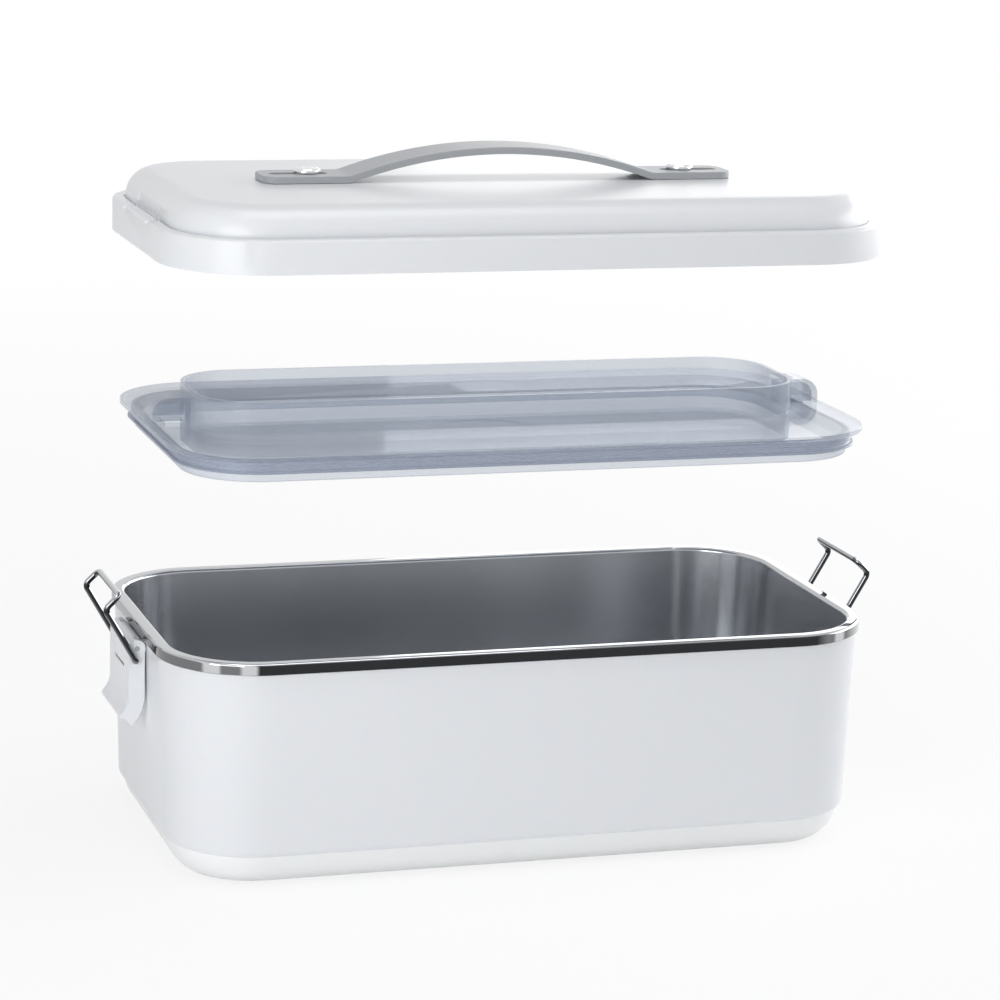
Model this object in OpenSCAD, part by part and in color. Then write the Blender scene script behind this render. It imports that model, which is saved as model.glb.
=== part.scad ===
// Electric lunch box: heated base with a steel pan, a clear inner lid with a tray, and a domed carry lid.
// The box stands on z = 0 with its centre over the origin, its long side along X and its front towards -Y.
// Both lids are drawn raised above the box by the two lift heights, the way the box is shown opened up.

/* [Steel rim] */
// Length of the pan's rim, the widest part of the base
rim_w = 240; // [225:1:260]
// Depth of the rim, front to back
rim_d = 131; // [122:1:145]
// Outer corner radius of the rim
rim_r = 31.5; // [28:0.5:36]
// Height of the rim's top face above the table
rim_z = 75.5; // [70:0.5:93]
// Width of the flange that both lids rest on
flange_w = 4.5; // [4:0.1:5]
// Height of the turned-down band outside the rim
band_h = 3.7; // [2.5:0.1:4.4]
// Thickness of the pan's steel sheet
sheet = 0.8; // [0.6:0.1:1]

/* [Pan] */
// Height of the pan's inside floor above the table
pan_floor = 20.5; // [20:0.5:27]
// How far each pan wall leans in on its way down
pan_lean = 3; // [1:0.5:5]
// Inside radius between the pan's wall and its floor
pan_fillet = 8; // [4:0.5:12]

/* [Outer shell] */
// Wall thickness of the shell, the base cover and the carry lid
wall = 2.2; // [1.8:0.1:2.3]
// Gap between the shell and the rim's band
band_gap = 0.3; // [0.2:0.05:0.4]
// How far each shell wall leans in on its way down
shell_lean = 1.6; // [0.5:0.1:2]
// Width of the soft edge round the shell's foot
foot_ease = 1.2; // [0.4:0.1:1.4]
// Thickness of the shell's inside floor, which carries the heater
deck = 2; // [1.7:0.1:2.4]
// Gap between the pan's underside and the shell's inside floor
deck_gap = 1; // [0.6:0.1:1.2]

/* [Base cover] */
// Height of the seam between the shell and the base cover
seam_z = 11; // [10:0.5:11.5]
// How far the base cover is set in from the shell at the seam
cover_step = 1.9; // [1.4:0.1:2.4]
// Radius of the curve that takes the cover in to its floor
cover_curve = 11.5; // [11:0.5:16]
// Height of the locating lip inside the shell
lip_h = 2.2; // [1.2:0.1:2.6]
// Thickness of the locating lip
lip_t = 1.4; // [1:0.1:1.8]
// Height that the rubber feet stand proud of the cover
foot_h = 1.2; // [0.6:0.1:1.4]
// Radius of a rubber foot
foot_r = 6; // [4:0.5:7]
// Distance of the feet from the rim's ends
foot_in_x = 32; // [30:1:50]
// Distance of the feet from the rim's front and back
foot_in_y = 33.5; // [31.5:0.5:42]

/* [Screws] */
// Radius of a screw's shank
screw_r = 1.5; // [1.2:0.1:1.7]
// Radius of a screw's head
screw_head_r = 2.8; // [2.4:0.1:3]
// Height of a screw's head
screw_head_h = 1.6; // [1.2:0.1:1.8]
// Clearance round a screw's shank and head in the cover
screw_gap = 0.25; // [0.1:0.05:0.4]
// Radius of a screw boss
boss_r = 4; // [3.7:0.1:5]
// Distance of the base screws from the rim's ends
screw_in_x = 21; // [19:0.5:23]
// Distance of the base screws from the rim's front and back
screw_in_y = 21.5; // [19.5:0.5:23.5]

/* [Heater] */
// Length of the heater plate's raised land
plate_w = 130; // [112:1:140]
// Depth of the raised land
plate_d = 60; // [56:1:64]
// Corner radius of the raised land
plate_r = 12; // [8:1:16]
// Width of the plate's rim under the shell's floor
plate_rim = 6.5; // [6:0.5:8]
// Thickness of the plate's rim
plate_rim_h = 1.2; // [0.8:0.1:1.5]
// Air left between the heater plate and the pan
plate_gap = 0.1; // [0.05:0.05:0.3]
// Length of the ceramic heating element
element_w = 86; // [60:1:96]
// Depth of the heating element
element_d = 20; // [14:1:22]
// Height of the heating element
element_h = 4; // [3:0.1:4.4]
// Thickness of the spring strip that clamps the element
clamp_t = 0.8; // [0.5:0.1:1]
// Width of the clamp
clamp_w = 12; // [9:0.5:16]
// Radius of the bimetal thermostat
thermostat_r = 7; // [5:0.5:7.5]
// Height of the thermostat
thermostat_h = 5; // [3.5:0.1:5.6]
// Distance of the thermostat and of the fuse from the middle of the plate along X
sensor_x = 30; // [26:1:34]
// Radius of the thermal fuse
fuse_r = 1.9; // [1.4:0.1:2.2]
// Length of the thermal fuse
fuse_w = 11; // [8:0.5:14]
// Radius of an insulated wire
lead_r = 0.8; // [0.6:0.1:1]

/* [Power inlet] */
// Width of the socket's mouth
inlet_w = 16; // [14:0.5:18]
// Height of the socket's mouth
inlet_h = 8; // [7.5:0.1:8.4]
// Depth of the socket
inlet_depth = 13; // [11:0.5:14]
// Wall thickness of the socket
inlet_wall = 1.2; // [0.9:0.1:1.3]
// Distance between the two contact pins
pin_pitch = 8.6; // [7.5:0.1:9]
// Radius of a contact pin
pin_r = 1.2; // [0.9:0.1:1.3]

/* [Clear inner lid] */
// Height that the inner lid is raised above its closed place
inner_lift = 64; // [20:1:100]
// How far the inner lid's flange reaches over the pan's flange
inner_overlap = 2; // [1.6:0.1:2.4]
// Thickness of the inner lid's flange
flange_t = 1.7; // [1.3:0.1:2]
// Wall thickness of the inner lid's plug, tray and lugs
clear_wall = 1.5; // [1.2:0.1:1.8]
// Depth of the plug and of the tray below the flange's underside
plug_depth = 7.5; // [6:0.1:10]
// Gap between the plug and the pan's opening
plug_gap = 3.1; // [2.5:0.1:3.6]
// Distance of the raised tray's ends from the rim's ends
tray_in_x = 17.5; // [17:0.5:30]
// Distance of the tray's front and back from the rim's front and back
tray_in_y = 36; // [26:0.5:42]
// Corner radius of the tray
tray_r = 20; // [10:1:22]
// Height of the tray's rim above the flange
tray_h = 10.2; // [8:0.1:11.4]
// Radius of the moulded ring in the tray's floor
disc_r = 18; // [10:1:20]
// Height of that ring
disc_h = 0.5; // [0.3:0.1:0.8]
// Distance of a finger lug's end from the rim's end
lug_in = 4.5; // [4.5:0.5:8.5]
// Width of a finger lug
lug_d = 12; // [8:0.5:16]
// Height of a finger lug above the flange
lug_h = 8; // [6.5:0.1:8.2]
// Radius of a lug's outer shoulder
lug_round = 5.5; // [4.5:0.1:6]
// Gap between the seal's lip and the pan
seal_gap = 0.3; // [0.2:0.05:0.5]
// Height of the seal's collar round the plug
seal_h = 4.6; // [3:0.1:5.5]
// Thickness of the seal's collar
seal_t = 1.1; // [0.8:0.1:1.4]
// Thickness of the seal's lip
seal_lip = 0.8; // [0.6:0.1:1.2]

/* [Carry lid] */
// Height that the carry lid is raised above its closed place
outer_lift = 122.5; // [80:0.5:200]
// How far the carry lid stands out past the rim
lid_overhang = 0.3; // [0.2:0.1:1.3]
// How much rounder the lid's corners are than the rim's
skirt_ease = 0.7; // [0:0.1:2]
// Height of the skirt
skirt_h = 10.7; // [9.8:0.1:14]
// Radius of the skirt's top edge
skirt_edge = 0.9; // [0.4:0.1:0.9]
// Width of the ledge between the skirt and the dome
ledge_w = 4.3; // [3.7:0.1:4.5]
// Height of the dome above the ledge
dome_h = 9.6; // [9.3:0.1:14]
// Radius of the dome's top edge
dome_edge = 9; // [5:0.1:9.3]
// Width and depth of the fine line round the foot of the dome
line_w = 0.5; // [0.3:0.1:0.8]
// Gap between each closed lid and the rim
rest_gap = 0.1; // [0.05:0.05:0.2]

/* [Strap] */
// Overall length of the strap
strap_w = 160; // [150:1:176]
// Width of the strap, front to back
strap_d = 18; // [14:0.5:22]
// Thickness of the strap
strap_t = 2.3; // [1.8:0.1:3]
// Height of the arch's middle above its flat ends
strap_rise = 8.9; // [7:0.1:16]
// Radius where the arch runs out into the flat ends
strap_blend = 8; // [4:0.5:12]
// Corner radius of the strap's ends
strap_end_r = 5; // [2:0.5:6.5]
// Distance of a stud's centre from the strap's end
stud_in = 16; // [15.5:0.5:20]
// Radius of a stud's head
stud_head_r = 4.4; // [3.8:0.1:5.2]
// Height of a stud's head
stud_head_h = 1.8; // [1.2:0.1:2.4]
// Radius of a stud's shank
stud_r = 2; // [1.6:0.1:2.3]
// Height of a stud's nut
nut_h = 1.8; // [1.4:0.1:2.2]
// Distance that a slot runs from the stud's centre towards the strap's middle
slot_in = 6.8; // [6.6:0.1:8]
// Distance that a slot runs from the stud's centre towards the strap's end
slot_out = 12.8; // [10:0.1:13.5]
// Clearance of the slot round the stud
slot_gap = 0.3; // [0.2:0.05:0.5]

/* [Latches] */
// Distance of the lever's hinge outside the rim's end
hinge_x = 1.9; // [1.9:0.1:2.3]
// Depth of the lever's hinge below the rim's top
hinge_drop = 6.5; // [6.4:0.1:7.5]
// Width of the lever, front to back
lever_d = 30.8; // [28:0.2:34]
// Radius of the lever's barrel
barrel_r = 2.8; // [2.6:0.05:2.85]
// Thickness of the lever's face
face_t = 1.6; // [1.2:0.1:1.8]
// Thickness of the lever's cheeks
cheek_t = 2; // [1.6:0.1:2.4]
// Depth of the face's straight part below the hinge
face_h = 15.5; // [13:0.5:17]
// Depth of the face's tip below the hinge
lever_h = 22.6; // [20:0.2:24]
// Radius of the face's outward curve
flare_r = 9.4; // [8.6:0.2:16]
// Length of the slit in the face
slit_w = 16; // [10:0.5:20]
// Height of the slit
slit_h = 1; // [0.6:0.1:1.4]
// Depth of the slit below the hinge
slit_drop = 7.2; // [6:0.2:9]
// Radius of the hinge pin
hinge_pin_r = 0.8; // [0.6:0.05:0.9]
// Radius of an ear on the shell
ear_r = 1.7; // [1.5:0.05:1.8]
// Thickness of an ear
ear_t = 3; // [2:0.1:4]
// Radius of the bail's wire
bail_r = 1; // [0.8:0.05:1.1]
// Gap between a bail leg's bend and the lever's cheek
bail_gap = 0.3; // [0.2:0.05:0.6]
// Depth of the bail's pivot below the lever's hinge
bail_drop = 4; // [3.8:0.1:4.6]
// Distance of the bail's pivot outside the lever's hinge
bail_out = 0.6; // [0.4:0.1:0.9]
// Lean of the bail out from its hooked place, in degrees
bail_lean = 30; // [10:1:45]
// Bend radius of the wire at the hook
bend_r = 2.4; // [1.8:0.1:2.5]
// Bend radius of the wire at its pivot
foot_bend = 1.4; // [1.2:0.1:1.8]
// Running clearance of the pins and the wire in their bores
run_gap = 0.05; // [0.02:0.01:0.1]
// Clearance between the latch's moving pieces
latch_gap = 0.3; // [0.25:0.05:0.4]

/* [Hidden] */
$fn = 96;
over = 1; // how far a cut runs past the face it opens
wire_lap = 0.2; // how far a run of wire goes into the next bend
wire_thin = 0.03; // how much thinner a bend is drawn

white = [0.93, 0.935, 0.94];
steel = [0.72, 0.73, 0.75];
clear = [0.80, 0.84, 0.90, 0.5];
grey = [0.70, 0.71, 0.72];
black = [0.13, 0.13, 0.14];
copper = [0.72, 0.45, 0.28];
cream = [0.88, 0.84, 0.76];

// shell: its section is carried round the box about the rim's own corner centres
shell_r = rim_r - sheet - band_gap;
shell_top = rim_z - sheet;
shell_foot_r = shell_r - shell_lean;
shell_chamfer = 0.6;
foot_ease_h = 1.6; // height of the soft edge round the shell's foot
bend_in = 0.3; // inside radius of the band's bend
band_bend = sheet + bend_in;
deck_top = pan_floor - sheet - deck_gap;
deck_z = deck_top - deck;
// pan
open_r = rim_r - flange_w;
mouth_in = 0.4; // inside radius of the bend into the pan's mouth
open_bend = sheet + mouth_in;
pan_foot_r = open_r - pan_lean;
// base cover
cover_r = shell_foot_r - cover_step;
cover_floor = foot_h + wall;
cover_drop = seam_z - foot_h;
cover_flat = cover_r - cover_curve + sqrt(pow(cover_curve, 2) - pow(cover_drop, 2));
lip_r = shell_foot_r - wall - latch_gap;
foot_sink = 0.5;
foot_x = rim_w / 2 - foot_in_x;
foot_y = rim_d / 2 - foot_in_y;
// base screws: the head sits in a pocket of the cover, the shank in a boss under the shell's floor
screw_x = rim_w / 2 - screw_in_x;
screw_y = rim_d / 2 - screw_in_y;
seat_rise = 1.4;
post_skin = 2;
screw_skin = 1.2;
seat_z = cover_floor + seat_rise;
post_top = seat_z + post_skin;
base_screw_top = deck_top - screw_skin;
thread_gap = 0.02;
cross_w = 0.7; // width and depth of the cross in a screw's head
// heater
plate_z = deck_z - plate_rim_h;
plate_top = pan_floor - sheet - plate_gap;
heater_skin = 0.6;
clamp_edge = 0.6;
heater_screw_h = plate_rim_h + deck - heater_skin;
clamp_foot = 2 * (screw_head_r + clamp_edge);
cap_step = 1; // how much narrower the thermostat's cap is than its body
cap_r = thermostat_r - cap_step;
rim_screw_x = plate_w / 2 + plate_rim / 2;
rim_screw_y = plate_d / 2 - plate_r;
sensor_y = plate_d / 2 - thermostat_r;
clamp_screw_y = element_d / 2 + clamp_t + clamp_foot / 2;
lead_bend = 3; // bend radius of the leads
lead_out = 3; // how far a lead runs straight into the element's end
// power inlet, midway between the cover's floor and the skin above it
inlet_skin = 0.8;
inlet_z = (cover_floor + deck_top - inlet_skin) / 2;
inlet_front = rim_d / 2 - rim_r + shell_foot_r;
inlet_gap = 0.2;
inlet_out_h = inlet_h + 2 * inlet_wall;
inlet_out_w = inlet_w + 2 * inlet_wall;
inlet_back = inlet_front - inlet_depth - inlet_wall;
pin_tail = 3;
stop_gap = 0.3;
stop_w = pin_pitch - 2 * (pin_r + stop_gap); // the stop behind the socket stands between the two pins
// closed heights of the lids, and how high they are drawn
closed_z = rim_z + rest_gap;
inner_z = closed_z + inner_lift;
outer_z = closed_z + outer_lift;
lid_flange_r = open_r + inner_overlap;
plug_r = open_r - plug_gap;
plug_in = rim_w / 2 - rim_r + plug_r - clear_wall; // the plug's inside face at the box's ends
tray_w = rim_w - 2 * tray_in_x;
tray_d = rim_d - 2 * tray_in_y;
lug_end = rim_w / 2 - lug_in;
ring_t = 1; // thickness of the ring in the tray's floor
seal_ease = 0.05; // gap between the seal's collar and the plug
seal_wall_r = open_r - pan_lean * seal_h / (rim_z - pan_floor);
skirt_w = rim_w + 2 * lid_overhang;
skirt_d = rim_d + 2 * lid_overhang;
skirt_r = rim_r + lid_overhang + skirt_ease;
dome_w = skirt_w - 2 * ledge_w;
dome_r = skirt_r - ledge_w;
dome_top = skirt_h + dome_h;
// strap
blend_steps = 6;
bow_steps = 32;
stud_x = strap_w / 2 - stud_in;
slot_end = 4.4; // flat left between a slot and the arch
strap_flat = stud_x - slot_in - slot_end;
arch_r = (pow(strap_flat, 2) + pow(strap_rise, 2)) / (2 * strap_rise) - strap_blend;
arch_turn = asin(strap_flat / (arch_r + strap_blend));
strap_z = outer_z + dome_top + rest_gap;
stud_z = strap_z + strap_t + rest_gap;
slot_r = stud_r + slot_gap;
// latch, seen in the plane of one end: x runs outwards from the rim's end, z up
hinge_z = rim_z - hinge_drop;
cheek_in = lever_d / 2 - cheek_t;
ear_y = cheek_in - latch_gap;
slot_turn = 50; // how far the lever turns about its ears
bail_x = hinge_x + bail_out;
bail_z = hinge_z - bail_drop;
bail_w = lever_d + 2 * (bail_gap + foot_bend);
hook_gap = 0.2;
hook_x = lid_overhang - ledge_w + hook_gap;
hook_z = closed_z + skirt_h + bail_r + rest_gap;
arm_rise = 1.5;
leg_h = hook_z - arm_rise - bail_z;
arm_run = bail_x - hook_x;
arm_l = sqrt(pow(arm_run, 2) + pow(arm_rise, 2));
arm_turn = atan2(arm_run, arm_rise);
arm_cut = bend_r * tan(arm_turn / 2);
recess_in = bail_r + latch_gap;
recess_gap = 0.25;
recess_w = bail_w + 2 * recess_gap;
recess_h = 4.4;
face_x = hinge_x + barrel_r; // outer side of the lever's face
face_end = hinge_z - face_h; // where the face starts to curve outwards
face_mid = flare_r + face_t / 2; // radius of the curve in the middle of the face
face_turn = asin((lever_h - face_h) / face_mid);
cheek_x = hinge_x - barrel_r + latch_gap; // back edge of a cheek
cheek_r = face_x + flare_r - cheek_x; // and the radius of its curve, round the same centre as the face's
flare_steps = 12;

// shared shapes

// a section is drawn with x = 0 at the corner's centre and carried round a rounded rectangle
module quarter_round(w, d, r) {
    translate([w / 2 - r, d / 2 - r, 0]) rotate_extrude(angle = 90) children();
    translate([0, d / 2 - r, 0]) rotate([90, 0, 90]) linear_extrude(w / 2 - r) children();
    translate([w / 2 - r, d / 2 - r, 0]) rotate([90, 0, 0]) linear_extrude(d / 2 - r) children();
}

module carried_round(w, d, r) {
    for (mx = [0, 1], my = [0, 1]) mirror([mx, 0, 0]) mirror([0, my, 0]) quarter_round(w, d, r) children();
}

// a section that reaches x = 0 between z0 and z1 is closed across the middle
module filled_round(w, d, r, z0, z1) {
    carried_round(w, d, r) children();
    translate([r - w / 2, r - d / 2, z0]) cube([w - 2 * r, d - 2 * r, z1 - z0]);
}

module rounded_plate(w, d, r, h) {
    linear_extrude(h) {
        square([w - 2 * r, d], center = true);
        square([w, d - 2 * r], center = true);
        for (x = [-1, 1], y = [-1, 1]) translate([x * (w / 2 - r), y * (d / 2 - r)]) circle(r);
    }
}

module four(x, y) {
    for (i = [-1, 1], j = [-1, 1]) translate([i * x, j * y, 0]) children();
}

// a quarter of a ring in the section's plane, on the side given by the two signs
module quarter_ring(x, z, r, t, sx, sz) {
    translate([x, z]) intersection() {
        difference() {
            circle(r);
            circle(r - t);
        }
        translate([min(0, sx * r), min(0, sz * r)]) square(r);
    }
}

// puts a piece drawn for the right end at one end of the box
module at_end(side) {
    mirror([side < 0 ? 1 : 0, 0, 0]) translate([rim_w / 2, 0, 0]) children();
}

// a shape drawn in the end's plane, drawn out to a width centred on y = 0
module drawn_out(d) {
    translate([0, d / 2, 0]) rotate([90, 0, 0]) linear_extrude(d) children();
}

module rod_y(x, z, r, l) {
    translate([x, l / 2, z]) rotate([90, 0, 0]) cylinder(h = l, r = r);
}

// a round wire: a straight run that laps into the bends at its ends, and a bend towards the direction dir,
// where the wire is drawn a little thinner
module wire_run(l, r, back = wire_lap) {
    front = $children > 0 ? wire_lap : 0;
    translate([0, 0, -back]) cylinder(h = l + back + front, r = r);
    translate([0, 0, l]) children();
}

module wire_bend(turn, dir, rb, r) {
    rotate([0, 0, dir]) {
        translate([rb, 0, 0]) rotate([90, 0, 0]) rotate([0, 0, 180 - turn])
            rotate_extrude(angle = turn) translate([rb, 0]) circle(r - wire_thin);
        translate([rb, 0, 0]) rotate([0, turn, 0]) translate([-rb, 0, 0]) children();
    }
}

// a pan-head screw with its head below z and its shank above
module screw(h) {
    cylinder(h = h, r = screw_r);
    translate([0, 0, -screw_head_h]) difference() {
        cylinder(h = screw_head_h, r = screw_head_r);
        for (a = [0, 90]) rotate([0, 0, a]) translate([-screw_head_r * 0.6, -cross_w / 2, -over])
            cube([screw_head_r * 1.2, cross_w, over + cross_w]);
    }
}

// base

module shell_section() {
    polygon([[shell_r - wall, shell_top], [shell_r - shell_chamfer, shell_top],
        [shell_r, shell_top - shell_chamfer], [shell_foot_r, seam_z + foot_ease_h],
        [shell_foot_r - foot_ease / 3, seam_z + foot_ease_h / 3], [shell_foot_r - foot_ease, seam_z],
        [shell_foot_r - wall, seam_z]]);
    translate([0, deck_z]) square([shell_foot_r - wall / 2, deck]);
}

module inlet_outline(gap) {
    r = inlet_out_h / 2 + gap;
    for (x = [-1, 1]) translate([x * (inlet_out_w - inlet_out_h) / 2, 0]) circle(r);
    square([inlet_out_w - inlet_out_h, 2 * r], center = true);
}

// the passage for the socket through the back wall, shared by the shell and the cover
module inlet_cut() {
    translate([0, inlet_front + over, inlet_z]) rotate([90, 0, 0])
        linear_extrude(inlet_depth + inlet_wall + over + inlet_gap) inlet_outline(inlet_gap);
}

module latch_ear(y) {
    l = hinge_x + wall;
    translate([0, y + ear_t, 0]) rotate([90, 0, 0]) linear_extrude(ear_t) difference() {
        union() {
            translate([hinge_x, hinge_z]) circle(ear_r);
            translate([-wall, hinge_z - ear_r]) square([l, 2 * ear_r]);
        }
        translate([hinge_x, hinge_z]) circle(hinge_pin_r + run_gap);
    }
}

module outer_shell() {
    color(white) difference() {
        union() {
            filled_round(rim_w, rim_d, rim_r, deck_z, deck_top) shell_section();
            four(screw_x, screw_y) translate([0, 0, post_top])
                cylinder(h = deck_z - post_top + over, r = boss_r);
            for (side = [-1, 1]) at_end(side) {
                latch_ear(ear_y - ear_t);
                latch_ear(-ear_y);
            }
        }
        // opening for the heater plate
        translate([0, 0, deck_z - over]) rounded_plate(plate_w + 2 * screw_gap, plate_d + 2 * screw_gap,
            plate_r + screw_gap, deck + 2 * over);
        four(screw_x, screw_y) translate([0, 0, post_top - over])
            cylinder(h = base_screw_top - post_top + over + thread_gap, r = screw_r + thread_gap);
        four(rim_screw_x, rim_screw_y) translate([0, 0, deck_z - over])
            cylinder(h = plate_z + heater_screw_h - deck_z + over + thread_gap, r = screw_r + thread_gap);
        inlet_cut();
    }
}

module cover_section() {
    intersection() {
        translate([cover_r - cover_curve, seam_z]) difference() {
            circle(cover_curve);
            circle(cover_curve - wall);
        }
        translate([cover_r - cover_curve, foot_h]) square([cover_curve, cover_drop]);
    }
    translate([0, foot_h]) square([cover_flat, wall]);
    translate([lip_r - lip_t, seam_z - wall]) square([lip_t, wall + lip_h]);
}

module base_cover() {
    color(white) difference() {
        union() {
            filled_round(rim_w, rim_d, rim_r, foot_h, cover_floor) cover_section();
            four(screw_x, screw_y) translate([0, 0, foot_h]) cylinder(h = post_top - foot_h, r = boss_r);
            translate([-stop_w / 2, inlet_back - wall - inlet_gap, cover_floor - over])
                cube([stop_w, wall, over + inlet_out_h / 2]);
        }
        four(screw_x, screw_y) {
            translate([0, 0, foot_h - over])
                cylinder(h = seat_z - foot_h + over, r = screw_head_r + screw_gap);
            cylinder(h = post_top + over, r = screw_r + screw_gap);
        }
        four(foot_x, foot_y) translate([0, 0, foot_h - over]) cylinder(h = foot_sink + over, r = foot_r);
        inlet_cut();
    }
}

module foot(x, y) {
    color(black) translate([x * foot_x, y * foot_y, 0]) rotate_extrude() {
        square([foot_r - foot_h / 2, foot_h + foot_sink]);
        translate([0, foot_h / 2]) square([foot_r, foot_h / 2 + foot_sink]);
        translate([foot_r - foot_h / 2, foot_h / 2]) circle(foot_h / 2);
    }
}

module base_screws() {
    color(steel) four(screw_x, screw_y) translate([0, 0, seat_z]) screw(base_screw_top - seat_z);
}

// heater

module heater_plate() {
    color(steel) difference() {
        union() {
            translate([0, 0, plate_z]) rounded_plate(plate_w + 2 * plate_rim, plate_d + 2 * plate_rim,
                plate_r + plate_rim, plate_rim_h);
            translate([0, 0, plate_z]) rounded_plate(plate_w, plate_d, plate_r, plate_top - plate_z);
        }
        four(rim_screw_x, rim_screw_y) translate([0, 0, plate_z - over])
            cylinder(h = plate_rim_h + 2 * over, r = screw_r + screw_gap);
        for (y = [-1, 1]) translate([0, y * clamp_screw_y, plate_z - over])
            cylinder(h = heater_screw_h - clamp_t + over + thread_gap, r = screw_r + thread_gap);
    }
}

module heater_screws() {
    color(steel) {
        four(rim_screw_x, rim_screw_y) translate([0, 0, plate_z]) screw(heater_screw_h);
        for (y = [-1, 1]) translate([0, y * clamp_screw_y, plate_z - clamp_t]) screw(heater_screw_h);
    }
}

module heating_element() {
    color(cream) translate([-element_w / 2, -element_d / 2, plate_z - element_h])
        cube([element_w, element_d, element_h]);
}

module element_clamp() {
    half = element_d / 2;
    low = plate_z - element_h - clamp_t;
    color(steel) difference() {
        union() {
            translate([-clamp_w / 2, -half - clamp_t, low])
                cube([clamp_w, element_d + 2 * clamp_t, clamp_t]);
            for (y = [-1, 1]) {
                translate([-clamp_w / 2, y * (half + clamp_t / 2) - clamp_t / 2, low])
                    cube([clamp_w, clamp_t, element_h + clamp_t]);
                translate([-clamp_w / 2, y * clamp_screw_y - clamp_foot / 2, plate_z - clamp_t])
                    cube([clamp_w, clamp_foot, clamp_t]);
            }
        }
        for (y = [-1, 1]) translate([0, y * clamp_screw_y, low])
            cylinder(h = element_h + 2 * over, r = screw_r + screw_gap);
    }
}

module thermostat() {
    color(black) translate([sensor_x, sensor_y, plate_z]) {
        translate([0, 0, -thermostat_h * 0.4]) cylinder(h = thermostat_h * 0.4, r = thermostat_r);
        translate([0, 0, -thermostat_h]) cylinder(h = thermostat_h, r = cap_r);
    }
}

module thermal_fuse() {
    color(cream) translate([-sensor_x - fuse_w / 2, sensor_y, plate_z - fuse_r]) rotate([0, 90, 0])
        cylinder(h = fuse_w, r = fuse_r);
}

// power inlet

module power_inlet() {
    color(black) difference() {
        translate([0, inlet_front, inlet_z]) rotate([90, 0, 0])
            linear_extrude(inlet_depth + inlet_wall) inlet_outline(0);
        translate([0, inlet_front + over, inlet_z]) rotate([90, 0, 0])
            linear_extrude(inlet_depth + over) inlet_outline(-inlet_wall);
        for (x = [-1, 1]) translate([x * pin_pitch / 2, inlet_front, inlet_z]) rotate([90, 0, 0])
            cylinder(h = inlet_depth + inlet_wall + over, r = pin_r);
    }
}

module inlet_pins() {
    reach = inlet_depth * 0.7;
    color(steel) for (x = [-1, 1]) translate([x * pin_pitch / 2, inlet_back - pin_tail, inlet_z])
        rotate([-90, 0, 0]) cylinder(h = pin_tail + inlet_wall + reach, r = pin_r);
}

// wiring: each lead is a solid of its own

module lead_from(x, y, z, heading) {
    translate([x, y, z]) rotate([0, 0, heading]) rotate([-90, 0, 0]) children();
}

module wiring() {
    pin_y = inlet_back - pin_tail;
    fuse_z = plate_z - fuse_r;
    fuse_in = sensor_x - fuse_w / 2;
    down_l = pin_y - sensor_y - lead_bend;
    slope = 20;
    slope_l = (fuse_z - inlet_z - 2 * lead_bend * (1 - cos(slope))) / sin(slope);
    slope_x = 2 * lead_bend * sin(slope) + slope_l * cos(slope);
    loop_x = element_w / 2 + lead_bend + lead_out;
    color(copper) {
        // socket to thermostat
        lead_from(pin_pitch / 2, pin_y, inlet_z, 180)
            wire_run(down_l, lead_r, 0)
            wire_bend(90, 180, lead_bend, lead_r)
            wire_run(sensor_x - cap_r - pin_pitch / 2 - lead_bend, lead_r);
        // socket to fuse, with a rise to the plate's underside
        lead_from(-pin_pitch / 2, pin_y, inlet_z, 180)
            wire_run(down_l, lead_r, 0)
            wire_bend(90, 0, lead_bend, lead_r)
            wire_run(fuse_in - pin_pitch / 2 - lead_bend - slope_x, lead_r)
            wire_bend(slope, -90, lead_bend, lead_r)
            wire_run(slope_l, lead_r)
            wire_bend(slope, 180, lead_bend, lead_r);
        // thermostat to the element's right end
        lead_from(sensor_x + cap_r, sensor_y, inlet_z, -90)
            wire_run(loop_x - sensor_x - cap_r - lead_bend, lead_r, 0)
            wire_bend(90, 0, lead_bend, lead_r)
            wire_run(sensor_y - 2 * lead_bend, lead_r)
            wire_bend(90, 0, lead_bend, lead_r)
            wire_run(loop_x - lead_bend - element_w / 2, lead_r);
        // fuse to the element's left end
        lead_from(-sensor_x - fuse_w / 2, sensor_y, fuse_z, 90)
            wire_run(loop_x - sensor_x - fuse_w / 2 - lead_bend, lead_r, 0)
            wire_bend(90, 180, lead_bend, lead_r)
            wire_run(sensor_y - 2 * lead_bend, lead_r)
            wire_bend(90, 0, lead_bend, lead_r)
            wire_run(loop_x - lead_bend - element_w / 2, lead_r);
    }
}

// steel pan

module pan_section() {
    wall_top = rim_z - open_bend;
    wall_low = pan_floor + pan_fillet;
    // turned-down band and the bend above it
    translate([rim_r - sheet, rim_z - band_h]) square([sheet, band_h - band_bend]);
    quarter_ring(rim_r - band_bend, rim_z - band_bend, band_bend, sheet, 1, 1);
    // flange and its bend into the opening
    translate([open_r + open_bend, rim_z - sheet]) square([flange_w - open_bend - band_bend, sheet]);
    quarter_ring(open_r + open_bend, wall_top, open_bend, sheet, -1, 1);
    // wall, fillet and floor
    polygon([[open_r, wall_top], [open_r + sheet, wall_top], [pan_foot_r + sheet, wall_low],
        [pan_foot_r, wall_low]]);
    quarter_ring(pan_foot_r - pan_fillet, wall_low, pan_fillet + sheet, sheet, 1, -1);
    translate([0, pan_floor - sheet]) square([pan_foot_r - pan_fillet, sheet]);
}

module steel_pan() {
    color(steel) filled_round(rim_w, rim_d, rim_r, pan_floor - sheet, pan_floor) pan_section();
}

// clear inner lid

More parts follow.
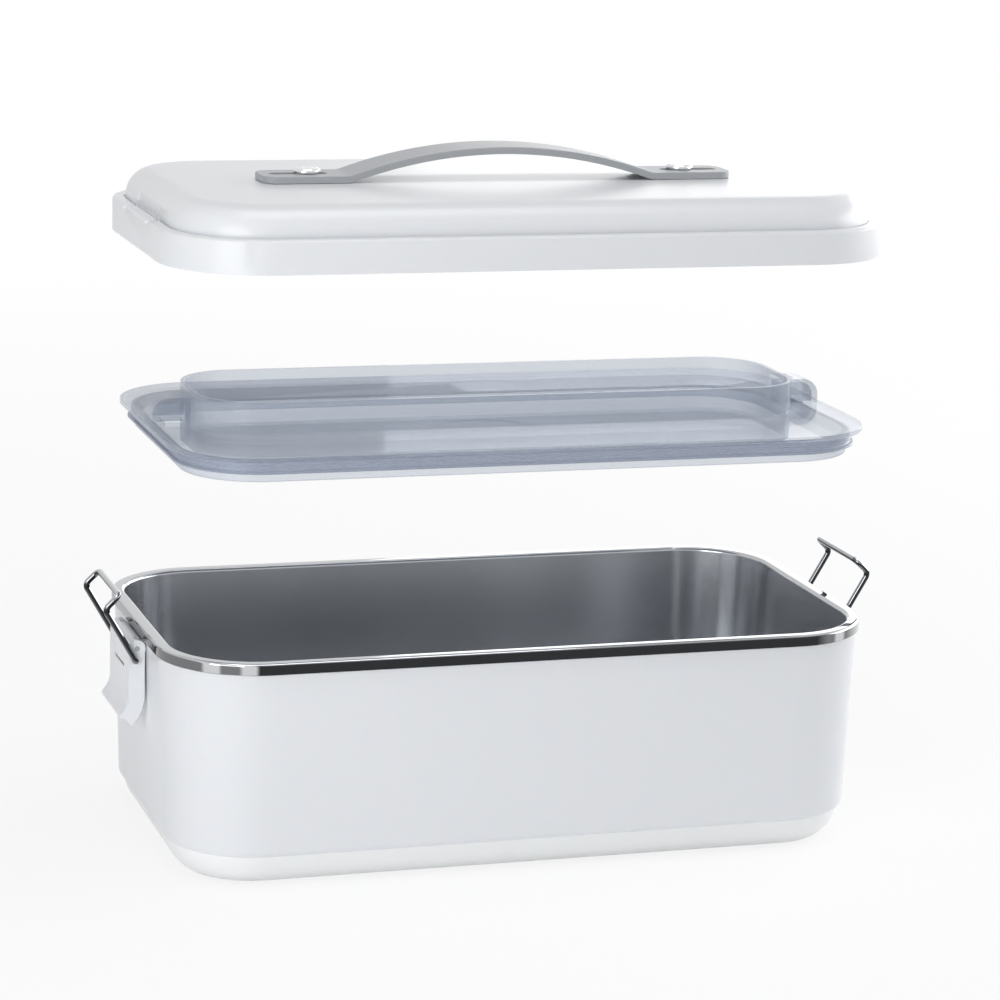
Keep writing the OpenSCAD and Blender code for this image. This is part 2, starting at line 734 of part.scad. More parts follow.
// a lug's side view, from the tray's wall outwards, set in all round by its wall for the hollow
module lug_outline(inset) {
    z1 = flange_t + lug_h;
    x0 = tray_w / 2 - clear_wall + inset;
    intersection() {
        union() {
            translate([x0, 0]) square([lug_end - lug_round - x0, z1 - inset]);
            translate([x0, 0]) square([lug_end - inset - x0, z1 - lug_round]);
            translate([lug_end - lug_round, z1 - lug_round]) circle(lug_round - inset);
        }
        square([rim_w, z1]);
    }
}

module plug_section() {
    translate([plug_r - clear_wall, -plug_depth]) square([clear_wall, plug_depth + flange_t]);
    square([lid_flange_r, flange_t]);
}

module inner_lid() {
    tray_bottom = -plug_depth;
    rise = flange_t + tray_h;
    color(clear) translate([0, 0, inner_z]) difference() {
        union() {
            filled_round(rim_w, rim_d, rim_r, 0, flange_t) plug_section();
            translate([0, 0, tray_bottom]) rounded_plate(tray_w, tray_d, tray_r, rise - tray_bottom);
            for (side = [-1, 1]) mirror([side < 0 ? 1 : 0, 0, 0]) drawn_out(lug_d) lug_outline(0);
        }
        translate([0, 0, tray_bottom + clear_wall])
            rounded_plate(tray_w - 2 * clear_wall, tray_d - 2 * clear_wall, tray_r - clear_wall,
                rise - tray_bottom);
        // a lug is hollow, and open downwards inside the plug
        for (side = [-1, 1]) mirror([side < 0 ? 1 : 0, 0, 0]) drawn_out(lug_d - 2 * clear_wall) {
            intersection() {
                lug_outline(clear_wall);
                translate([0, flange_t]) square([rim_w, lug_h]);
            }
            translate([tray_w / 2, -over]) square([plug_in - tray_w / 2, over + 2 * flange_t]);
        }
    }
    color(clear) translate([0, 0, inner_z + tray_bottom + clear_wall]) difference() {
        cylinder(h = disc_h, r = disc_r);
        translate([0, 0, -over]) cylinder(h = disc_h + 2 * over, r = disc_r - ring_t);
    }
}

module seal_section() {
    collar_r = plug_r + seal_ease;
    lip_end = seal_wall_r - seal_gap - seal_lip / 2;
    translate([collar_r, -seal_h]) square([seal_t, seal_h]);
    translate([collar_r, -seal_h]) square([lip_end - collar_r, seal_lip]);
    translate([lip_end, seal_lip / 2 - seal_h]) circle(seal_lip / 2);
}

module lid_seal() {
    color(clear) translate([0, 0, inner_z]) carried_round(rim_w, rim_d, rim_r) seal_section();
}

// carry lid

module lid_section() {
    difference() {
        union() {
            translate([skirt_r - wall, 0]) square([wall, skirt_h - skirt_edge]);
            translate([dome_r - wall, skirt_h - wall]) square([ledge_w + wall - skirt_edge, wall]);
            translate([skirt_r - skirt_edge, skirt_h - skirt_edge]) circle(skirt_edge);
            translate([dome_r - wall, skirt_h - wall]) square([wall, dome_h + wall - dome_edge]);
            quarter_ring(dome_r - dome_edge, dome_top - dome_edge, dome_edge, wall, 1, 1);
            translate([0, dome_top - wall]) square([dome_r - dome_edge, wall]);
        }
        translate([dome_r, skirt_h - line_w]) square([line_w, line_w + over]);
    }
}

module outer_lid() {
    groove_r = bail_r + latch_gap + hook_gap;
    color(white) difference() {
        translate([0, 0, outer_z])
            filled_round(skirt_w, skirt_d, skirt_r, dome_top - wall, dome_top) lid_section();
        for (side = [-1, 1]) at_end(side) {
            // recess for the bail's bar
            translate([hook_x - recess_in, -recess_w / 2, outer_z + skirt_h])
                cube([ledge_w + over, recess_w, recess_h]);
            // grooves for its arms
            for (y = [-1, 1]) translate([hook_x - recess_in, y * bail_w / 2, outer_z + skirt_h])
                rotate([0, 90, 0]) cylinder(h = 2 * ledge_w, r = groove_r);
        }
        for (x = [-1, 1]) translate([x * stud_x, 0, outer_z + dome_top - wall - over])
            cylinder(h = wall + 2 * over, r = stud_r + run_gap);
    }
}

// strap and its studs

// the strap's upper or lower edge, o above its middle line: a blend, the arch and the other blend
function strap_edge(o) = [
    for (i = [0:blend_steps]) let (a = arch_turn * i / blend_steps, r = strap_blend - o)
        [r * sin(a) - strap_flat, strap_t / 2 + strap_blend - r * cos(a)],
    for (i = [1:bow_steps - 1]) let (a = arch_turn * (2 * i / bow_steps - 1), r = arch_r + o)
        [r * sin(a), strap_t / 2 + strap_rise - arch_r + r * cos(a)],
    for (i = [blend_steps:-1:0]) let (a = arch_turn * i / blend_steps, r = strap_blend - o)
        [strap_flat - r * sin(a), strap_t / 2 + strap_blend - r * cos(a)]];

module strap_outline() {
    top = strap_edge(strap_t / 2);
    end = strap_w / 2;
    polygon(concat([[-end, 0]], strap_edge(-strap_t / 2), [[end, 0], [end, strap_t]],
        [for (i = [len(top) - 1:-1:0]) top[i]], [[-end, strap_t]]));
}

module strap() {
    color(grey) translate([0, 0, strap_z]) difference() {
        intersection() {
            drawn_out(strap_d) strap_outline();
            translate([0, 0, -over])
                rounded_plate(strap_w, strap_d, strap_end_r, strap_rise + strap_t + 2 * over);
        }
        for (m = [0, 1]) mirror([m, 0, 0]) translate([stud_x, 0, -over]) {
            for (x = [slot_r - slot_in, slot_out - slot_r]) translate([x, 0, 0])
                cylinder(h = strap_t + 2 * over, r = slot_r);
            translate([slot_r - slot_in, -slot_r, 0])
                cube([slot_in + slot_out - 2 * slot_r, 2 * slot_r, strap_t + 2 * over]);
        }
    }
}

module stud(side) {
    low = outer_z + dome_top - wall - nut_h;
    dome = stud_head_h * 0.6;
    color(grey) translate([side * stud_x, 0, 0]) {
        translate([0, 0, low]) cylinder(h = stud_z - low, r = stud_r);
        translate([0, 0, stud_z]) rotate_extrude() {
            square([stud_head_r, stud_head_h - dome]);
            square([stud_head_r - dome, stud_head_h]);
            intersection() {
                translate([stud_head_r - dome, stud_head_h - dome]) circle(dome);
                square([stud_head_r, stud_head_h]);
            }
        }
    }
}

module stud_nuts() {
    low = outer_z + dome_top - wall - nut_h;
    color(steel) for (x = [-1, 1]) translate([x * stud_x, 0, low]) difference() {
        cylinder(h = nut_h, r = stud_head_r);
        translate([0, 0, -over]) cylinder(h = nut_h + 2 * over, r = stud_r + thread_gap);
    }
}

// latches

module lever_face() {
    translate([face_x - face_t, face_end]) square([face_t, face_h]);
    translate([face_x + flare_r, face_end]) {
        intersection() {
            difference() {
                circle(flare_r + face_t);
                circle(flare_r);
            }
            polygon([[0, 0], [-2 * flare_r, 0], [-2 * flare_r * cos(face_turn), -2 * flare_r * sin(face_turn)]]);
        }
        translate([-face_mid * cos(face_turn), -face_mid * sin(face_turn)]) circle(face_t / 2);
    }
}

// points of a curve round the flare's centre, from one turn to another
function flare(r, from, to) = [for (i = [0:flare_steps]) let (a = from + (to - from) * i / flare_steps)
    [face_x + flare_r - r * cos(a), face_end - r * sin(a)]];

// a cheek runs from the middle of the face to its own back edge, and follows the face's curve down to the tip
module lever_cheek() {
    polygon(concat([[hinge_x, hinge_z], [face_x - face_t / 2, hinge_z]], flare(face_mid, 0, face_turn),
        flare(cheek_r, face_turn, 0), [[cheek_x, hinge_z]]));
}

module latch_lever(side) {
    clear_r = ear_r + latch_gap;
    slot_d = ear_t + 2 * latch_gap;
    color(white) at_end(side) difference() {
        union() {
            rod_y(hinge_x, hinge_z, barrel_r, lever_d);
            drawn_out(lever_d) lever_face();
            for (y = [-1, 1]) translate([0, y * (lever_d - cheek_t) / 2, 0])
                drawn_out(cheek_t) lever_cheek();
        }
        rod_y(hinge_x, hinge_z, hinge_pin_r + run_gap, lever_d + 2 * over);
        // room for the ears, also when the lever is turned up
        for (y = [-1, 1]) translate([hinge_x, y * (ear_y - ear_t / 2), hinge_z]) {
            rotate([90, 0, 0]) cylinder(h = slot_d, r = clear_r, center = true);
            for (turn = [0, slot_turn]) rotate([0, turn, 0])
                translate([-2 * barrel_r, -slot_d / 2, -clear_r])
                    cube([2 * barrel_r, slot_d, 2 * clear_r]);
        }
        rod_y(bail_x, bail_z, bail_r + run_gap, lever_d + 2 * over);
        translate([hinge_x, -slit_w / 2, hinge_z - slit_drop - slit_h / 2])
            cube([2 * barrel_r, slit_w, slit_h]);
    }
}

module latch_pin(side) {
    color(steel) at_end(side) rod_y(hinge_x, hinge_z, hinge_pin_r, lever_d - latch_gap);
}

module latch_bail(side) {
    stub_l = bail_w / 2 - foot_bend - cheek_in;
    leg_run = leg_h - foot_bend - arm_cut;
    arm = arm_l - arm_cut - bend_r;
    color(steel) at_end(side) translate([bail_x, cheek_in, bail_z])
        rotate([0, bail_lean, 0]) rotate([-90, 0, 0])
        wire_run(stub_l, bail_r, 0)
        wire_bend(90, -90, foot_bend, bail_r)
        wire_run(leg_run, bail_r)
        wire_bend(arm_turn, -90, bend_r, bail_r)
        wire_run(arm, bail_r)
        wire_bend(90, 90, bend_r, bail_r)
        wire_run(bail_w - 2 * bend_r, bail_r)
        wire_bend(90, 0, bend_r, bail_r)
        wire_run(arm, bail_r)
        wire_bend(arm_turn, -90, bend_r, bail_r)
        wire_run(leg_run, bail_r)
        wire_bend(90, 90, foot_bend, bail_r)
        wire_run(stub_l, bail_r);
}

outer_shell();
base_cover();
foot(-1, -1);  // foot_front_left
foot(1, -1);  // foot_front_right
foot(-1, 1);  // foot_back_left
foot(1, 1);  // foot_back_right
base_screws();
heater_plate();
heater_screws();
heating_element();
element_clamp();
thermostat();
thermal_fuse();
power_inlet();
inlet_pins();
wiring();
steel_pan();
inner_lid();
lid_seal();
outer_lid();
strap();
stud(-1);  // stud_left
stud(1);  // stud_right
stud_nuts();
latch_lever(-1);  // latch_lever_left
latch_lever(1);  // latch_lever_right
latch_pin(-1);  // latch_pin_left
latch_pin(1);  // latch_pin_right
latch_bail(-1);  // latch_bail_left
latch_bail(1);  // latch_bail_right
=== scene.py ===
import math

import bmesh
import bpy
import numpy as np
from mathutils import Matrix


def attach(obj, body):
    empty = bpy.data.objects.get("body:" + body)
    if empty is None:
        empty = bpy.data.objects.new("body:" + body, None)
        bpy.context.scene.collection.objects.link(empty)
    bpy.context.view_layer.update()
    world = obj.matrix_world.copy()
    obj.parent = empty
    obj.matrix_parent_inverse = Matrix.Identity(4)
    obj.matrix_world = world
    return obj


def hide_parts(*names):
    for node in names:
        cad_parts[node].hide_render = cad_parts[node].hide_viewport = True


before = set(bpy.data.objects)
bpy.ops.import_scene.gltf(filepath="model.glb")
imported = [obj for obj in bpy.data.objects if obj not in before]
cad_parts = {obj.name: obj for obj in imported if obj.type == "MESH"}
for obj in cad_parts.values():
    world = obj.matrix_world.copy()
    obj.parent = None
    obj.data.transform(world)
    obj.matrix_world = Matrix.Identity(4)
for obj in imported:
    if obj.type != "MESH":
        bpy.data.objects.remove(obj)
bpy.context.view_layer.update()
mm = 0.001
print("frame loaded:", len(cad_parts), "nodes")

# angles in degrees, lengths in metres, the picture's centre and focal length in pixels, the sensor in mm
view = {"azimuth": -17.592, "elevation": 12.874, "roll": -1.625, "distance": 1.164219,
        "aim": (0, 0, 0.103), "focalPixels": 3468.094, "centre": (485.994, 520.745),
        "frameSize": 1000, "sensor": 36.0, "near": 0.01, "far": 60}


def placeCamera(v):
    # looks back along the line given by azimuth and elevation, then turned by the roll about that line
    a, e, r = (math.radians(v[k]) for k in ("azimuth", "elevation", "roll"))
    back = np.array([math.sin(a) * math.cos(e), -math.cos(a) * math.cos(e), math.sin(e)])
    right = np.array([math.cos(a), math.sin(a), 0.0])
    up = np.cross(back, right)
    axes = (right * math.cos(r) - up * math.sin(r), right * math.sin(r) + up * math.cos(r), back)
    data = bpy.data.cameras.new("camera")
    data.sensor_width = v["sensor"]
    data.lens = v["focalPixels"] / v["frameSize"] * v["sensor"]
    data.shift_x = 0.5 - v["centre"][0] / v["frameSize"]
    data.shift_y = v["centre"][1] / v["frameSize"] - 0.5
    data.clip_start, data.clip_end = v["near"], v["far"]
    cam = bpy.data.objects.new("camera", data)
    bpy.context.scene.collection.objects.link(cam)
    place = Matrix.Identity(4)
    for i in range(3):
        for j in range(3):
            place[i][j] = axes[j][i]
        place[i][3] = v["aim"][i] + back[i] * v["distance"]
    cam.matrix_world = place
    bpy.context.scene.camera = cam


placeCamera(view)


def hexToLinear(text):
    # sRGB hex to linear light, with full alpha
    c = np.array([int(text[i:i + 2], 16) for i in (1, 3, 5)]) / 255
    linear = np.where(c <= 0.04045, c / 12.92, ((c + 0.055) / 1.055) ** 2.4)
    return tuple(float(x) for x in linear) + (1.0,)


def addNode(tree, kind, settings=None, links=None):
    # settings: a property by its name, or a socket by its name or number
    # links: an input socket and the output that feeds it
    node = tree.nodes.new(kind)
    for key, value in (settings or {}).items():
        if isinstance(key, str) and hasattr(node, key):
            setattr(node, key, value)
        else:
            node.inputs[key].default_value = value
    for key, source in (links or {}).items():
        tree.links.new(source, node.inputs[key])
    return node


def newMaterial(name):
    made = bpy.data.materials.new(name)
    made.use_nodes = True
    tree = made.node_tree
    tree.nodes.clear()
    return made, tree


def mouldedPlastic(name, light, dark, rough, grainMm, grainDepth):
    # moulded plastic or rubber: a satin skin with a spark-eroded grain, a little light let in, and faint
    # flow shading a hand's width across, which also wears the gloss a little
    flowMm, wear = 111, 0.012
    made, tree = newMaterial(name)
    place = addNode(tree, "ShaderNodeTexCoord").outputs["Object"]
    flow = addNode(tree, "ShaderNodeTexNoise", {"Scale": 1 / (flowMm * mm), "Detail": 2.0},
                   {"Vector": place}).outputs["Fac"]
    tint = addNode(tree, "ShaderNodeMix",
                   {"data_type": "RGBA", 6: hexToLinear(dark), 7: hexToLinear(light)}, {0: flow}).outputs[2]
    gloss = addNode(tree, "ShaderNodeMapRange", {"To Min": rough - wear, "To Max": rough + wear},
                    {"Value": flow}).outputs["Result"]
    grain = addNode(tree, "ShaderNodeTexNoise", {"Scale": 1 / (grainMm * mm), "Detail": 3.0},
                    {"Vector": place}).outputs["Fac"]
    bump = addNode(tree, "ShaderNodeBump", {"Strength": 0.35, "Distance": grainDepth * mm},
                   {"Height": grain}).outputs["Normal"]
    skin = addNode(tree, "ShaderNodeBsdfPrincipled",
                   {"IOR": 1.49, "Subsurface Weight": 0.05, "Subsurface Scale": 2 * mm},
                   {"Base Color": tint, "Roughness": gloss, "Normal": bump})
    addNode(tree, "ShaderNodeOutputMaterial", {}, {"Surface": skin.outputs["BSDF"]})
    return made


def setStops(ramp, stops):
    # stops: how far a face points along one axis, from -1 to 1, and an sRGB hex colour
    for _ in stops[2:]:
        ramp.elements.new(0.5)
    for element, (value, tone) in zip(ramp.elements, stops):
        element.position = (value + 1) / 2
        element.color = hexToLinear(tone)


# rimFrom in metres, other lengths in mm; dark, grey, bright and pale are painted reflections on the band, and
# each painted reflection lies between two values of how far the band faces right
steelLook = {"wall": "#b4b6b9", "flange": "#b9bbbe", "rimFrom": 0.0714, "polished": 0.05, "satin": 0.2,
             "smearMm": 71, "lineMm": 1.1, "lineDepth": 0.03,
             "dark": "#323335", "grey": "#77787a", "bright": "#cbccce", "pale": "#e2e3e5",
             "paintedReflections": [(-1.0, -0.69, "grey"), (-0.66, -0.54, "bright"), (-0.51, -0.35, "grey"),
                         (-0.31, -0.19, "bright"), (-0.15, 0.2, "dark"), (0.33, 0.41, "grey"),
                         (0.45, 0.54, "bright"), (0.58, 0.6, "grey"), (0.9, 1.0, "pale")]}


def drawnStainless(name, look):
    # deep-drawn stainless sheet: satin walls with fine upright draw lines, a polished flange, and a polished
    # turned-down band with painted reflections on its outer face: dark along its front, grey and bright by
    # turns round the corners, as a mirror shows a dim room with a few strip lights
    made, tree = newMaterial(name)
    place = addNode(tree, "ShaderNodeTexCoord").outputs["Object"]
    height = addNode(tree, "ShaderNodeSeparateXYZ", {}, {"Vector": place}).outputs["Z"]
    onRim = addNode(tree, "ShaderNodeMath", {"operation": "GREATER_THAN", 1: look["rimFrom"]},
                    {0: height}).outputs["Value"]
    normal = addNode(tree, "ShaderNodeNewGeometry").outputs["Normal"]
    facing = addNode(tree, "ShaderNodeSeparateXYZ", {}, {"Vector": normal})
    level = addNode(tree, "ShaderNodeMapRange", {"From Min": 0.25, "From Max": 0.75},
                    {"Value": facing.outputs["Z"]}).outputs["Result"]
    upright = addNode(tree, "ShaderNodeMath", {"operation": "SUBTRACT", 0: 1.0},
                      {1: level}).outputs["Value"]
    # outside faces point away from the middle of the pan: place . normal, without the heights, is above 0
    fromMiddle = addNode(tree, "ShaderNodeVectorMath", {"operation": "MULTIPLY", 1: (1.0, 1.0, 0.0)},
                         {0: place}).outputs["Vector"]
    outward = addNode(tree, "ShaderNodeVectorMath", {"operation": "DOT_PRODUCT"},
                      {0: fromMiddle, 1: normal}).outputs["Value"]
    outside = addNode(tree, "ShaderNodeMath", {"operation": "GREATER_THAN", 1: 0.0},
                      {0: outward}).outputs["Value"]
    outer = addNode(tree, "ShaderNodeMath", {"operation": "MULTIPLY"},
                    {0: onRim, 1: outside}).outputs["Value"]
    # band: the rim's outer upright face, which carries the painted reflections
    band = addNode(tree, "ShaderNodeMath", {"operation": "MULTIPLY"},
                   {0: outer, 1: upright}).outputs["Value"]
    # painted reflections, picked by how far the band faces right
    sideways = addNode(tree, "ShaderNodeMapRange", {"From Min": -1.0, "From Max": 1.0},
                       {"Value": facing.outputs["X"]}).outputs["Result"]
    paintedReflections = addNode(tree, "ShaderNodeValToRGB", {}, {"Fac": sideways})
    stops = [(side, look[tone]) for start, end, tone in look["paintedReflections"] for side in (start, end)]
    setStops(paintedReflections.color_ramp, stops)
    smear = addNode(tree, "ShaderNodeTexNoise", {"Scale": 1 / (look["smearMm"] * mm), "Detail": 3.0},
                    {"Vector": place}).outputs["Fac"]
    sheet = addNode(tree, "ShaderNodeMix",
                    {"data_type": "RGBA", 6: hexToLinear(look["wall"]), 7: hexToLinear(look["flange"])},
                    {0: smear}).outputs[2]
    # painted reflections on the band, the sheet's own mottled tone everywhere else
    tone = addNode(tree, "ShaderNodeMix", {"data_type": "RGBA"},
                   {0: band, 6: sheet, 7: paintedReflections.outputs["Color"]}).outputs[2]
    worn = addNode(tree, "ShaderNodeMapRange",
                   {"To Min": look["satin"] * 0.75, "To Max": look["satin"] * 1.3},
                   {"Value": smear}).outputs["Result"]
    flange = addNode(tree, "ShaderNodeMath", {"operation": "MULTIPLY"},
                     {0: onRim, 1: level}).outputs["Value"]
    buffed = addNode(tree, "ShaderNodeMath", {"operation": "MAXIMUM"},
                     {0: outer, 1: flange}).outputs["Value"]
    rough = addNode(tree, "ShaderNodeMix", {"data_type": "FLOAT", 3: look["polished"]},
                    {0: buffed, 2: worn}).outputs[0]
    # draw lines: a noise stretched upwards, only below the rim
    stretched = addNode(tree, "ShaderNodeMapping", {"Scale": (1.0, 1.0, 0.04)},
                        {"Vector": place}).outputs["Vector"]
    lines = addNode(tree, "ShaderNodeTexNoise", {"Scale": 1 / (look["lineMm"] * mm), "Detail": 3.0},
                    {"Vector": stretched}).outputs["Fac"]
    below = addNode(tree, "ShaderNodeMath", {"operation": "SUBTRACT", 0: 1.0}, {1: onRim}).outputs["Value"]
    depth = addNode(tree, "ShaderNodeMath", {"operation": "MULTIPLY", 1: 0.25}, {0: below}).outputs["Value"]
    bump = addNode(tree, "ShaderNodeBump", {"Distance": look["lineDepth"] * mm},
                   {"Height": lines, "Strength": depth}).outputs["Normal"]
    skin = addNode(tree, "ShaderNodeBsdfPrincipled", {"Metallic": 1.0},
                   {"Base Color": tone, "Roughness": rough, "Normal": bump})
    addNode(tree, "ShaderNodeOutputMaterial", {}, {"Surface": skin.outputs["BSDF"]})
    return made


def clearSheet(name, seenThrough, haze, rough, faceOn, edgeOn):
    # clear moulded sheet: each face lets the view straight through with a cool tint, adds a thin milky haze
    # that thickens where it is seen edge on, and carries sharp highlights over both
    waveMm = 83
    made, tree = newMaterial(name)
    place = addNode(tree, "ShaderNodeTexCoord").outputs["Object"]
    wave = addNode(tree, "ShaderNodeTexNoise", {"Scale": 1 / (waveMm * mm), "Detail": 1.0},
                   {"Vector": place}).outputs["Fac"]
    bump = addNode(tree, "ShaderNodeBump", {"Strength": 0.03, "Distance": 0.5 * mm},
                   {"Height": wave}).outputs["Normal"]
    edge = addNode(tree, "ShaderNodeLayerWeight", {"Blend": 0.35}, {"Normal": bump}).outputs["Facing"]
    thick = addNode(tree, "ShaderNodeMapRange", {"To Min": faceOn, "To Max": edgeOn},
                    {"Value": edge}).outputs["Result"]
    cloudy = addNode(tree, "ShaderNodeMapRange", {"To Min": 0.85, "To Max": 1.15},
                     {"Value": wave}).outputs["Result"]
    share = addNode(tree, "ShaderNodeMath", {"operation": "MULTIPLY"},
                    {0: thick, 1: cloudy}).outputs["Value"]
    through = addNode(tree, "ShaderNodeBsdfTransparent",
                      {"Color": hexToLinear(seenThrough)}).outputs["BSDF"]
    body = addNode(tree, "ShaderNodeBsdfPrincipled",
                   {"Base Color": hexToLinear(haze), "Roughness": rough, "IOR": 1.5},
                   {"Normal": bump}).outputs["BSDF"]
    both = addNode(tree, "ShaderNodeMixShader", {}, {0: share, 1: through, 2: body}).outputs["Shader"]
    addNode(tree, "ShaderNodeOutputMaterial", {}, {"Surface": both})
    return made


def plainMetal(name, colour, rough, grainMm, paintedReflections=None):
    # drawn, cast or plated metal, with a fine uneven grain that breaks up its shine; a bright wire also has
    # painted reflections, light and dark lines along it, placed by how far each side faces up or down
    made, tree = newMaterial(name)
    place = addNode(tree, "ShaderNodeTexCoord").outputs["Object"]
    grain = addNode(tree, "ShaderNodeTexNoise", {"Scale": 1 / (grainMm * mm), "Detail": 3.0},
                    {"Vector": place}).outputs["Fac"]
    gloss = addNode(tree, "ShaderNodeMapRange", {"To Min": rough * 0.7, "To Max": rough * 1.4},
                    {"Value": grain}).outputs["Result"]
    bump = addNode(tree, "ShaderNodeBump", {"Strength": 0.15, "Distance": 0.02 * mm},
                   {"Height": grain}).outputs["Normal"]
    skin = addNode(tree, "ShaderNodeBsdfPrincipled", {"Metallic": 1.0, "Base Color": hexToLinear(colour)},
                   {"Roughness": gloss, "Normal": bump})
    if paintedReflections:
        # painted reflections on the wire, chosen by how far each side faces up
        normal = addNode(tree, "ShaderNodeNewGeometry").outputs["Normal"]
        upward = addNode(tree, "ShaderNodeSeparateXYZ", {}, {"Vector": normal}).outputs["Z"]
        level = addNode(tree, "ShaderNodeMapRange", {"From Min": -1.0, "From Max": 1.0},
                        {"Value": upward}).outputs["Result"]
        lines = addNode(tree, "ShaderNodeValToRGB", {}, {"Fac": level})
        setStops(lines.color_ramp, paintedReflections)
        tree.links.new(lines.outputs["Color"], skin.inputs["Base Color"])
    addNode(tree, "ShaderNodeOutputMaterial", {}, {"Surface": skin.outputs["BSDF"]})
    return made


# light and dark tint, roughness, grain width and depth in mm; the white ones stay rougher than 0.275, because
# the denoiser draws a faint outline where a large smooth piece crosses that value
whitePP = mouldedPlastic("mouldedWhitePP", "#e9ebee", "#e6e8ec", 0.29, 0.5, 0.02)
# the base cover is the body's white plastic in a lighter tint: painted light for the glow the floor bounces
# up onto the bottom
paintedLightCoverPP = mouldedPlastic("mouldedCoverPPPaintedLight", "#f7f8f8", "#f3f4f5", 0.305, 0.5, 0.02)
greyPP = mouldedPlastic("grainedGreyPP", "#b1b4b8", "#a5a8ad", 0.4, 0.35, 0.05)
blackPBT = mouldedPlastic("mouldedBlackPBT", "#1d1e20", "#141517", 0.45, 0.4, 0.03)
footRubber = mouldedPlastic("mouldedFootRubber", "#5d6064", "#515458", 0.62, 0.4, 0.05)
leadRubber = mouldedPlastic("extrudedLeadSilicone", "#c9c2b8", "#bfb7ab", 0.5, 0.4, 0.03)
glazedCeramic = mouldedPlastic("glazedAlumina", "#e2ddd2", "#d6cfc1", 0.25, 0.3, 0.02)
panSteel = drawnStainless("deepDrawnStainless", steelLook)
# colour, roughness, grain width in mm, and the wire's painted reflections, light and dark lines from its
# underside to its top
wirePaintedReflections = [(-1.0, "#8b8d90"), (-0.4, "#7f8184"), (-0.2, "#3a3b3d"), (0.15, "#2c2d2f"),
             (0.32, "#8f9194"), (1.0, "#bcbec1")]
wireSteel = plainMetal("bentStainlessWire", "#96989b", 0.12, 0.8, wirePaintedReflections)
studSteel = plainMetal("satinStudSteel", "#d9dadb", 0.22, 0.5)
zincSteel = plainMetal("zincPlatedSteel", "#a9abae", 0.3, 0.4)
castAluminium = plainMetal("castAluminium", "#c2c4c6", 0.35, 0.6)
platedBrass = plainMetal("platedBrass", "#cdb068", 0.25, 0.4)
# tint of the view through, haze, roughness, and the haze's share seen face on and edge on
clearPolyester = clearSheet("clearMouldedCopolyester", "#f1f3f6", "#ccd2dc", 0.06, 0.12, 0.6)
clearSilicone = clearSheet("translucentSilicone", "#e4e8ef", "#b7bdca", 0.3, 0.3, 0.85)

finishes = {"outer_shell": whitePP, "base_cover": paintedLightCoverPP, "outer_lid": whitePP,
            "latch_lever_left": whitePP, "latch_lever_right": whitePP, "strap": greyPP,
            "stud_left": studSteel, "stud_right": studSteel, "stud_nuts": zincSteel,
            "steel_pan": panSteel, "inner_lid": clearPolyester, "lid_seal": clearSilicone,
            "latch_bail_left": wireSteel, "latch_bail_right": wireSteel,
            "latch_pin_left": zincSteel, "latch_pin_right": zincSteel,
            "foot_front_left": footRubber, "foot_front_right": footRubber,
            "foot_back_left": footRubber, "foot_back_right": footRubber,
            "base_screws": zincSteel, "heater_plate": castAluminium, "heater_screws": zincSteel,
            "heating_element": glazedCeramic, "element_clamp": zincSteel, "thermostat": blackPBT,
            "thermal_fuse": glazedCeramic, "power_inlet": blackPBT, "inlet_pins": platedBrass,
            "wiring": leadRubber}
for name, material in finishes.items():
    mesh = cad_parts[name].data
    mesh.materials.clear()
    mesh.materials.append(material)
print("finishes set on", len(finishes), "nodes")


def finishPiece(name, mesh, body, material, stoodFor, sharp=35):
    # a new piece: smooth except at sharp corners, riding on its body in place of the nodes it stands for
    mesh.shade_smooth()
    mesh.set_sharp_from_angle(angle=math.radians(sharp))
    mesh.materials.clear()
    mesh.materials.append(material)
    piece = bpy.data.objects.new(name, mesh)
    bpy.context.scene.collection.objects.link(piece)
    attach(piece, body)
    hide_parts(*stoodFor)
    return piece


def gridMesh(name, points, wrap=True, closeAlong=False, capStart=False, capEnd=False):
    # points[i, j]: i along the profile, j round the piece; faces join neighbours, and the ends may be
    # capped flat
    rows, cols = points.shape[:2]
    i = np.arange(rows if closeAlong else rows - 1)[:, None]
    j = np.arange(cols if wrap else cols - 1)[None, :]
    a, b = i * cols + j, i * cols + (j + 1) % cols
    c, d = (i + 1) % rows * cols + (j + 1) % cols, (i + 1) % rows * cols + j
    faces = np.stack([a, b, c, d], axis=-1).reshape(-1, 4).tolist()
    if capStart:
        faces.append(list(range(cols))[::-1])
    if capEnd:
        faces.append(list(range((rows - 1) * cols, rows * cols)))
    mesh = bpy.data.meshes.new(name)
    mesh.from_pydata(points.reshape(-1, 3).tolist(), [], faces)
    mesh.update()
    return mesh


def sweptSection(w, d, r, section, perCorner=28):
    # a profile (distance s from the corner's centre, height z) carried round a rounded rectangle:
    # point(s, t) = corner centre(t) + s * outward direction(t), the corner centres w/2 - r and d/2 - r out
    quarterTurn = np.linspace(0, math.pi / 2, perCorner + 1)
    turn = np.concatenate([quarterTurn + q * math.pi / 2 for q in range(4)])
    out = np.stack([np.cos(turn), np.sin(turn)], axis=-1)
    quarter = np.repeat(np.arange(4), perCorner + 1)
    signs = np.array([[1, 1], [-1, 1], [-1, -1], [1, -1]])
    middle = signs[quarter] * np.array([w / 2 - r, d / 2 - r])
    section = np.asarray(section, dtype=float)
    flat = middle[None] + section[:, None, :1] * out[None]
    z = np.broadcast_to(section[:, None, 1:], flat.shape[:2] + (1,))
    return np.concatenate([flat, z], axis=-1) * mm


def arc(cx, cz, radius, start, end, steps):
    # points on an arc of the profile, angles in degrees from +s towards +z
    a = np.radians(np.linspace(start, end, steps + 1))
    return np.stack([cx + radius * np.cos(a), cz + radius * np.sin(a)], axis=-1)


# mm, as are all the sizes of pieces below
rim = {"w": 240, "d": 131, "r": 31.5, "z": 75.5, "flange": 4.5, "band": 3.7, "sheet": 0.8, "bandBend": 0.85,
       "mouthBend": 1.2, "floor": 20.5, "lean": 3.0, "fillet": 8.0, "edge": 0.15, "pole": 0.05}


